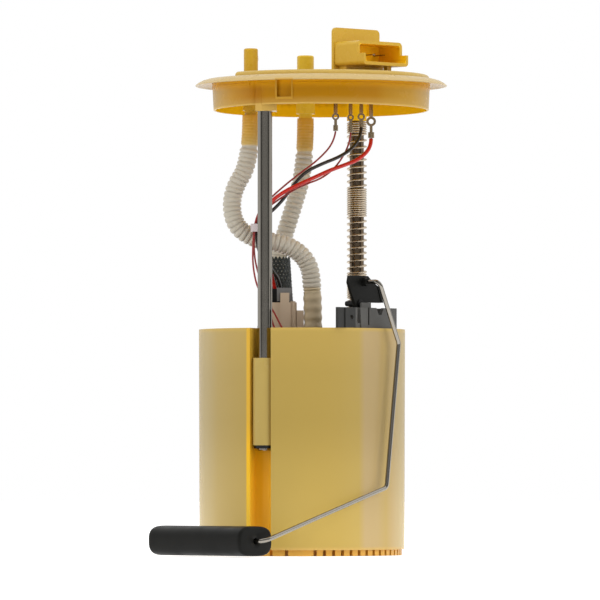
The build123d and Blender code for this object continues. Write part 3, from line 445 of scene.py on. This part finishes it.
# These nodes look different from the others of their slot.
OWN_FINISH = {
    "feed_port": "port_plastic", "return_port": "port_plastic", "pivot_pin": "dark_steel",
    "front_guide_sleeve": "sleeve_plastic", "rear_guide_rod": "rear_steel",
    "connector_shell": "connector_plastic",
}
for node, node_object in frame["nodes"].items():
    dress(node_object, OWN_FINISH.get(node, SLOT_OF[node]))


# --------------------------------------------------------------------- mesh helpers
def new_piece(name, verts, faces, smooth=True):
    """Mesh object that stands for a node, or for a part of it; lengths are in millimetres."""
    mesh = bpy.data.meshes.new(name)
    mesh.from_pydata([Vector(v) * MM for v in verts], [], faces)
    mesh.validate()
    mesh.update()
    bm = bmesh.new()
    bm.from_mesh(mesh)
    bmesh.ops.recalc_face_normals(bm, faces=bm.faces)
    bm.to_mesh(mesh)
    bm.free()
    for polygon in mesh.polygons:
        polygon.use_smooth = smooth
    piece = bpy.data.objects.new(name, mesh)
    bpy.context.collection.objects.link(piece)
    return piece


def ring_faces(first, second, count):
    """Faces between two rings of vertices, given the index of each ring's first vertex."""
    turns = [(k, (k + 1) % count) for k in range(count)]
    return [(first + k, first + n, second + n, second + k) for k, n in turns]


def even_points(places, step):
    """Points at equal distances along a polyline."""
    lengths = [0.0]
    for a, b in zip(places, places[1:]):
        lengths.append(lengths[-1] + (b - a).length)
    count = max(2, round(lengths[-1] / step))
    points = []
    at = 0
    for index in range(count + 1):
        target = lengths[-1] * index / count
        while at < len(places) - 2 and lengths[at + 1] < target:
            at += 1
        share = (target - lengths[at]) / max(1e-9, lengths[at + 1] - lengths[at])
        points.append(places[at].lerp(places[at + 1], share))
    return points


def smooth_line(route, step):
    """Even points along the NURBS curve that has the route's points as its control points."""
    data = bpy.data.curves.new("route_guide", "CURVE")
    data.dimensions = "3D"
    data.resolution_u = 40
    spline = data.splines.new("NURBS")
    spline.points.add(len(route) - 1)
    for point, place in zip(spline.points, route):
        point.co = (*(Vector(place) * MM), 1)
    spline.order_u = 3
    spline.use_endpoint_u = True
    curve = bpy.data.objects.new("route_guide", data)
    bpy.context.collection.objects.link(curve)
    bpy.context.view_layer.update()
    evaluated = curve.evaluated_get(bpy.context.evaluated_depsgraph_get())
    mesh = bpy.data.meshes.new_from_object(evaluated)
    places = [v.co / MM for v in mesh.vertices]
    bpy.data.objects.remove(curve)
    bpy.data.meshes.remove(mesh)
    return even_points(places, step)


def frames_along(line):
    """(point, side, up) at each point, turning as little as possible along the line."""
    tangents = [(b - a).normalized() for a, b in zip(line, line[1:])]
    tangents = [tangents[0]] + [
        (a + b).normalized() for a, b in zip(tangents, tangents[1:])] + [tangents[-1]]
    side = tangents[0].orthogonal().normalized()
    frames = []
    for point, tangent in zip(line, tangents):
        side = (side - tangent * side.dot(tangent)).normalized()
        frames.append((point, side, tangent.cross(side)))
    return frames


def sweep(name, line, radius, sides, bore=None):
    """Round bar along a line, or a tube where it has a bore.

    The radius is a number, or a function of the distance along the line.
    """
    radius_at = radius if callable(radius) else (lambda s: radius)
    travelled = 0.0
    previous = line[0]
    profile = []
    for point, side, up in frames_along(line):
        travelled += (point - previous).length
        previous = point
        profile.append((point, side, up, radius_at(travelled)))
    if bore:
        inner = [(*row[:3], bore) for row in profile[::6]][::-1]
        if inner[-1][0] != profile[0][0]:
            inner.append((*profile[0][:3], bore))
        if inner[0][0] != profile[-1][0]:
            inner.insert(0, (*profile[-1][:3], bore))
        profile += inner
    angles = [2 * pi * k / sides for k in range(sides)]
    verts = [point + (side * cos(angle) + up * sin(angle)) * r
             for point, side, up, r in profile for angle in angles]
    faces = []
    for row in range(len(profile) - 1):
        faces += ring_faces(row * sides, (row + 1) * sides, sides)
    last = (len(profile) - 1) * sides
    if bore:
        faces += ring_faces(last, 0, sides)
    else:
        faces += [tuple(range(sides))[::-1], tuple(range(last, last + sides))]
    return new_piece(name, verts, faces)


# --------------------------------------------------------------------------- camera
camera_data = bpy.data.cameras.new("camera")
camera_data.sensor_width = 36.0
camera_data.lens = 390.0
camera_data.clip_end = 30.0
camera = bpy.data.objects.new("camera", camera_data)
camera.location = (-0.0011, -3.6, 0.0469)
camera.rotation_euler = (radians(91.5), 0, 0)
bpy.context.collection.objects.link(camera)
bpy.context.scene.camera = camera


FEED_ROUTE = [
    (-28.25, -12.0, 243.0), (-28.25, -12.0, 217.5), (-39.3, -12.0, 200.0),
    (-37.9, -12.0, 182.0), (-25.2, -11.0, 173.8), (-9.0, -10.0, 172.4), (3.8, -7.0, 163.0),
    (6.1, -6.0, 146.0), (6.1, -6.0, 121.0),
]
RETURN_ROUTE = [
    (1.95, 22.0, 243.0), (1.95, 22.0, 216.0), (-5.6, 24.0, 191.0), (-10.8, 25.6, 175.0),
    (-14.5, 27.0, 160.0), (-14.5, 27.0, 116.2),
]
# Each wire's radius and route.
WIRES = {
    "sender_signal_wire": (0.5, [
        (18.5, -19.7, 233.7), (17.62, -20.06, 227.36), (8.97, -20.75, 217.91),
        (-1.18, -21.53, 210.4), (-10.5, -21.23, 203.07), (-21.5, -21.35, 192.99),
        (-26.02, -21.95, 184.58), (-27.16, -21.54, 170.04), (-27.08, -20.4, 158.45),
        (-24.3, -19.49, 145.88), (-16.25, -18.55, 135.8), (-11.24, -19.34, 125.48),
        (-2.63, -24.19, 111.35), (6.6, -30.52, 109.65), (17.6, -28.9, 110.0),
        (22.63, -33.94, 110.0)]),
    "sender_ground_wire": (0.5, [
        (26.9, -11.4, 233.5), (26.54, -11.24, 227.32), (20.16, -11.1, 215.83),
        (11.77, -15.44, 208.14), (0.34, -20.41, 203.92), (-9.49, -21.25, 198.43),
        (-23.0, -20.16, 188.69), (-26.16, -20.44, 181.72), (-26.58, -19.88, 166.12),
        (-24.32, -18.57, 155.56), (-20.03, -17.28, 143.36), (-17.4, -16.65, 131.3),
        (-12.91, -18.49, 119.48), (-6.35, -23.35, 109.66), (3.58, -30.09, 104.91),
        (13.8, -30.77, 103.0), (19.8, -36.77, 103.0)]),
    "pump_ground_wire": (0.95, [
        (32.8, -5.45, 236.6), (32.43, -6.48, 231.41), (27.62, -11.75, 224.34),
        (20.26, -17.26, 219.47), (11.43, -19.76, 215.95), (1.9, -19.1, 211.47),
        (-4.73, -18.75, 204.27), (-10.09, -18.8, 196.22), (-18.3, -18.9, 187.95),
        (-25.14, -18.91, 184.29), (-24.84, -19.13, 170.76), (-21.98, -17.9, 163.41),
        (-16.15, -10.39, 156.93), (-12.57, -2.71, 152.14), (-11.9, 0.3, 147.0)]),
    "pump_supply_wire": (1.1, [
        (38.3, 0.06, 230.5), (38.25, -1.98, 225.57), (31.69, -6.05, 218.85),
        (23.47, -10.71, 215.46), (15.61, -16.24, 212.45), (7.21, -20.06, 208.38),
        (-1.51, -22.94, 204.3), (-10.45, -23.79, 199.93), (-18.5, -22.96, 193.77),
        (-23.55, -21.95, 184.96), (-22.96, -20.49, 174.94), (-20.25, -15.89, 166.18),
        (-18.2, -9.05, 159.11), (-16.04, -2.56, 152.01), (-14.9, 0.4, 147.0)]),
}


def line_length(line):
    """Length in metres of a line in millimetres."""
    return sum((b - a).length for a, b in zip(line, line[1:])) * MM


LOWER_CUFF_R = 4.95


def corrugated(s, total, crest, root, pitch, cuffs, cuff):
    """Hose radius at a distance along it: rippled cuffs at its ends, corrugation between.

    cuffs holds the lengths of the upper and lower cuff, and cuff is the upper cuff's radius.
    """
    upper, lower = cuffs
    neck = root + 0.1
    if s < upper:
        swell = 0.07 * cos(2 * pi * s / 1.65) + 0.08
        ripple = cuff + swell * min(1.0, s / 4.0)
        share = max(0.0, min(1.0, (s - upper + 1.5) / 1.5))
        return ripple * (1 - share) + neck * share
    if s > total - lower:
        return LOWER_CUFF_R + 0.2 * cos(2 * pi * (total - s) / 5.2)
    offset = abs((s / pitch) % 1.0 - 0.5) * 2
    rib = root + (crest - root) * sqrt(max(0.0, 1 - offset ** 2.4))
    share = min(1.0, (s - upper) / 2.0, (total - lower - s) / 1.5)
    return neck * (1 - share) + rib * share


def hose(name, route, bore, **profile):
    """Corrugated hose in a node's place, and the line it follows."""
    line = smooth_line(route, step=0.27)
    total = line_length(line) / MM
    piece = sweep(name + "_corrugated", line, sides=36, bore=bore,
                  radius=lambda s: corrugated(s, total, **profile))
    dress(piece, name + "_plastic")
    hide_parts(name)
    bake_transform(piece)
    return piece, line


FEED_CREST = 5.15
RETURN_CREST = 4.95
feed_hose, feed_line = hose("feed_hose", FEED_ROUTE, bore=3.3, crest=FEED_CREST, root=4.0,
                            pitch=2.62, cuffs=(17.6, 24.6), cuff=4.7)
return_hose, return_line = hose("return_hose", RETURN_ROUTE, bore=3.4, crest=RETURN_CREST,
                                root=3.85, pitch=2.8, cuffs=(18.6, 6.0), cuff=4.6)

for wire_name, (wire_r, wire_route) in WIRES.items():
    wire_line = smooth_line(wire_route, step=0.8)
    wire = sweep(wire_name + "_lead", wire_line, radius=wire_r, sides=14)
    dress(wire, SLOT_OF[wire_name])
    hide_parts(wire_name)
    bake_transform(wire)


# -------------------------------------------------------------------------- springs
STEPS_PER_TURN = 28
REAR_ROD = (30.7, 35.5)
OUTLET = (6.1, -6.0)

# (bottom, top, turns): the return spring's close-wound groups lie between open ones.
RETURN_GROUPS = ((120.7, 122.3, 1.25), (122.3, 142.5, 5.6), (142.5, 157.3, 12.0),
                 (157.3, 188.9, 8.9), (188.9, 204.7, 12.8), (204.7, 235.0, 8.4),
                 (235.0, 241.7, 5.3))
VALVE_GROUPS = ((113.9, 118.7, 5),)


def coil_line(centre, radius, groups):
    """Centreline of a spring, group by group from its lower end."""
    line, start = [], 0.0
    for low, high, turns in groups:
        steps = round(turns * STEPS_PER_TURN)
        for index in range(steps):
            angle = start + 2 * pi * turns * index / steps
            line.append(Vector((centre[0] + radius * cos(angle),
                                centre[1] + radius * sin(angle),
                                low + (high - low) * index / steps)))
        start += 2 * pi * turns
    return line


coil = sweep("return_spring_coil", coil_line(REAR_ROD, 5.05, RETURN_GROUPS),
             radius=0.6, sides=10)
dress(coil, "spring_steel")
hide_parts("return_spring")
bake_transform(coil)

valve_coil = sweep("check_valve_spring_coil",
                   coil_line(OUTLET, 2.2, VALVE_GROUPS), radius=0.25, sides=8)
dress(valve_coil, "spring_steel")
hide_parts("check_valve_spring")
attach(valve_coil, "reservoir")
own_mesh(valve_coil)


# ------------------------------------------------------------------------ the float
FLOAT_ACROSS, FLOAT_HEIGHT = -91.0, 8.7       # its axis in the level sender's frame
FLOAT_NEAR, FLOAT_FAR = 56.0, -15.3           # its ends, out from the pot's axis
FLOAT_HALF = (12.5, 8.1)
FLOAT_ROUNDNESS = 3.1                         # 2 is an ellipse, and more is boxier
FLOAT_EDGE = 1.5
FLOAT_BORE = 1.75
FLOAT_SIDES = 72


def sender_place(across, z, r):
    """A place in the level sender's frame: across its face, up, and out from the pot."""
    return Vector((DIAGONAL * (r + across), DIAGONAL * (across - r), z))


def float_outline(inset):
    """Superellipse round the float's section, smaller by an inset."""
    outline = []
    for k in range(FLOAT_SIDES):
        angle = 2 * pi * k / FLOAT_SIDES
        outline.append([
            (half - inset) * abs(way) ** (2 / FLOAT_ROUNDNESS) * (1 if way >= 0 else -1)
            for half, way in zip(FLOAT_HALF, (cos(angle), sin(angle)))])
    return outline


def build_float():
    """Foam body with rounded edges, and the hole for the arm's wire in each of its ends."""
    def ring(outline, r):
        start = len(verts)
        for across, up in outline:
            verts.append(sender_place(FLOAT_ACROSS + across, FLOAT_HEIGHT + up, r))
        return start

    turns = [pi / 2 * k / 6 for k in range(7)]
    near_edge = [(FLOAT_NEAR - FLOAT_EDGE + FLOAT_EDGE * sin(turn),
                  FLOAT_EDGE - FLOAT_EDGE * cos(turn)) for turn in turns]
    far_edge = [(FLOAT_FAR + FLOAT_NEAR - r, inset) for r, inset in near_edge]
    middle = [(FLOAT_FAR + (FLOAT_NEAR - FLOAT_FAR) * k / 26, 0.0) for k in range(1, 26)]
    rows = sorted({(round(r, 4), round(inset, 4)) for r, inset in far_edge + middle + near_edge})
    verts, faces = [], []
    starts = [ring(float_outline(inset), r) for r, inset in rows]
    for first, second in zip(starts, starts[1:]):
        faces += ring_faces(first, second, FLOAT_SIDES)
    angles = [atan2(up, across) for across, up in float_outline(FLOAT_EDGE)]
    for end, inward, previous in ((FLOAT_FAR, 1, starts[0]), (FLOAT_NEAR, -1, starts[-1])):
        for radius, depth in ((4.2, 0.0), (FLOAT_BORE + 0.3, 0.0), (FLOAT_BORE, 0.3),
                              (FLOAT_BORE, 3.0)):
            circle = [(radius * cos(angle), radius * sin(angle)) for angle in angles]
            start = ring(circle, end + inward * depth)
            faces += ring_faces(previous, start, FLOAT_SIDES)
            previous = start
        faces.append(tuple(previous + k for k in range(FLOAT_SIDES)))
    piece = new_piece("float_foam_body", verts, faces)
    dress(piece, "float_foam")
    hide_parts("float")
    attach(piece, "float_body")


build_float()


# ---------------------------------------------------------------- the hose's sleeve
RISER = (-14.5, 27.0)
# (height, radius) up the sleeve.
SLEEVE = ((115.9, 10.5), (118.0, 10.5), (133.0, 9.9), (150.0, 8.7), (165.6, 7.7))
STRANDS = 22
STRAND_TURNS = 0.62
STRAND_STEPS = 66
WEAVE = 0.22                  # how far a strand rises over the others and dips under them
HALF_WIDTH = 0.52
# (side, height) across a strand, which is crowned.
STRAND_SECTION = ((-1, -0.08), (0, 0.12), (1, -0.08))


def sleeve_radius(z):
    for (z_low, r_low), (z_high, r_high) in zip(SLEEVE, SLEEVE[1:]):
        if z <= z_high:
            return r_low + (r_high - r_low) * (z - z_low) / (z_high - z_low)
    return SLEEVE[-1][1]


def build_sleeve():
    """Strands that wind both ways and cross over and under, round a thin liner."""
    low, high = SLEEVE[0][0], SLEEVE[-1][0]
    verts, faces = [], []
    for way in (-1, 1):
        for strand in range(STRANDS):
            for step in range(STRAND_STEPS + 1):
                share = step / STRAND_STEPS
                z = low + (high - low) * share
                angle = way * 2 * pi * (strand / STRANDS + STRAND_TURNS * share)
                crossing = cos(2 * pi * STRAND_TURNS * STRANDS * share + pi * strand)
                r = sleeve_radius(z) + WEAVE * way * crossing
                for side, lift in STRAND_SECTION:
                    a = angle + side * HALF_WIDTH / r
                    verts.append((RISER[0] + (r + lift) * cos(a),
                                  RISER[1] + (r + lift) * sin(a), z - side * way * 0.45))
                if step:
                    here = len(verts) - 3
                    for k in range(2):
                        faces.append((here + k, here + k + 1, here + k - 2, here + k - 3))
    braid = new_piece("hose_sleeve_braid", verts, faces)
    dress(braid, "mesh")
    line = [Vector((*RISER, low + (high - low) * k / 24)) for k in range(25)]
    liner = sweep("hose_sleeve_liner", line, sides=40, bore=5.2,
                  radius=lambda s: sleeve_radius(low + s) - 0.45)
    dress(liner, "mesh_liner")
    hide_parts("hose_sleeve")
    for piece in (braid, liner):
        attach(piece, "reservoir")


build_sleeve()


# ----------------------------------------------------------------- the harness clip
CLIP_SHARE = 0.549            # how far down the feed hose the clip sits
BOX_FACES = [(0, 1, 3, 2), (4, 6, 7, 5), (0, 4, 5, 1), (2, 3, 7, 6), (0, 2, 6, 4), (1, 5, 7, 3)]


def build_clip():
    """Clip that ties the wires' bundle to the feed hose: a ring, an eye and a web."""
    at = round(CLIP_SHARE * (len(feed_line) - 1))
    ring = sweep("harness_clip_ring", feed_line[at - 5:at + 6],
                 radius=5.85, sides=40, bore=5.3)
    bundle = [Vector((-24.6, -20.5, 178.2 + 4.4 * k / 6)) for k in range(7)]
    eye = sweep("harness_clip_eye", bundle, radius=3.7, sides=32, bore=3.0)
    corners = [(x, y, z) for x in (-22.4, -18.0) for y in (-18.6, -14.4) for z in (176.2, 178.9)]
    web = new_piece("harness_clip_web", corners, BOX_FACES, smooth=False)
    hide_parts("harness_clip")
    for piece in (ring, eye, web):
        dress(piece, "clip_plastic")
        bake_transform(piece)
    return ring, eye, web


build_clip()


# ------------------------------------------------------------- floor, world, lights
def build_floor():
    """White floor where it is seen or reflected; it gives the object no light."""
    half = 6.0
    mesh = bpy.data.meshes.new("floor")
    corners = [(-half, -half, 0), (half, -half, 0), (half, half, 0), (-half, half, 0)]
    mesh.from_pydata(corners, [], [(0, 1, 2, 3)])
    floor = bpy.data.objects.new("floor", mesh)
    floor.location.z = -0.0001
    bpy.context.collection.objects.link(floor)
    material, nodes, shader = new_material("floor")
    light_path = nodes.add("ShaderNodeLightPath").outputs
    seen = nodes.math("MAXIMUM", light_path["Is Camera Ray"], light_path["Is Glossy Ray"])
    seen = nodes.math("MAXIMUM", seen, light_path["Is Transmission Ray"])
    for socket, value in {
        "Base Color": (0.9, 0.9, 0.9, 1), "Roughness": 0.7, "Emission Color": (1, 1, 1, 1),
        "Emission Strength": nodes.map(seen, 0.0, 1.0, 0.0, 0.62),
    }.items():
        nodes.feed(value, shader.inputs[socket])
    mesh.materials.append(material)


def build_world():
    """White where it is seen; as light it is dimmer in front, and as a reflection banded."""
    world = bpy.data.worlds.new("studio")
    world.use_nodes = True
    bpy.context.scene.world = world
    nodes = Nodes(world.node_tree)
    background = world.node_tree.nodes["Background"].inputs
    light_path = nodes.add("ShaderNodeLightPath").outputs
    _, y, z = nodes.axes(nodes.add("ShaderNodeTexCoord").outputs["Generated"])
    light = nodes.map(y, -0.8, -0.1, 0.14, 0.62, smooth=True)
    bands = nodes.ramp(nodes.rise(y, -1.0, 1.0), [
        (position, (grey, grey, grey)) for position, grey in (
            (0.0, 0.40), (0.12, 0.34), (0.2, 0.12), (0.3, 0.08), (0.38, 0.8), (0.5, 1.0),
            (1.0, 0.8))])
    reflection = nodes.both(bands, nodes.map(z, -0.2, 0.6, 0.7, 1.3))
    level = nodes.add("ShaderNodeMix", {
        0: light_path["Is Glossy Ray"], 2: light, 3: reflection}).outputs[0]
    level = nodes.add("ShaderNodeMix", {
        0: light_path["Is Camera Ray"], 2: level, 3: 1.0}).outputs[0]
    nodes.feed(level, background["Strength"])
    nodes.feed((1, 1, 1, 1), background["Color"])


def area_light(name, place, size, power):
    """Softbox that faces the part's middle and doesn't show in reflections."""
    data = bpy.data.lights.new(name, "AREA")
    data.shape = "RECTANGLE"
    data.size, data.size_y = size
    data.energy = power
    light = bpy.data.objects.new(name, data)
    light.location = place
    aim = Vector((0, 0, 0.14)) - Vector(place)
    light.rotation_euler = aim.to_track_quat("-Z", "Y").to_euler()
    light.visible_glossy = False
    bpy.context.collection.objects.link(light)


build_floor()
build_world()
area_light("left_softbox", (-2.0, -1.5, 0.9), size=(2.0, 2.2), power=30)
area_light("right_softbox", (2.0, -1.3, 0.9), size=(2.0, 2.2), power=30)
area_light("top_softbox", (0.0, -0.6, 2.2), size=(2.2, 2.2), power=16)
bpy.context.scene.view_settings.view_transform = "Standard"
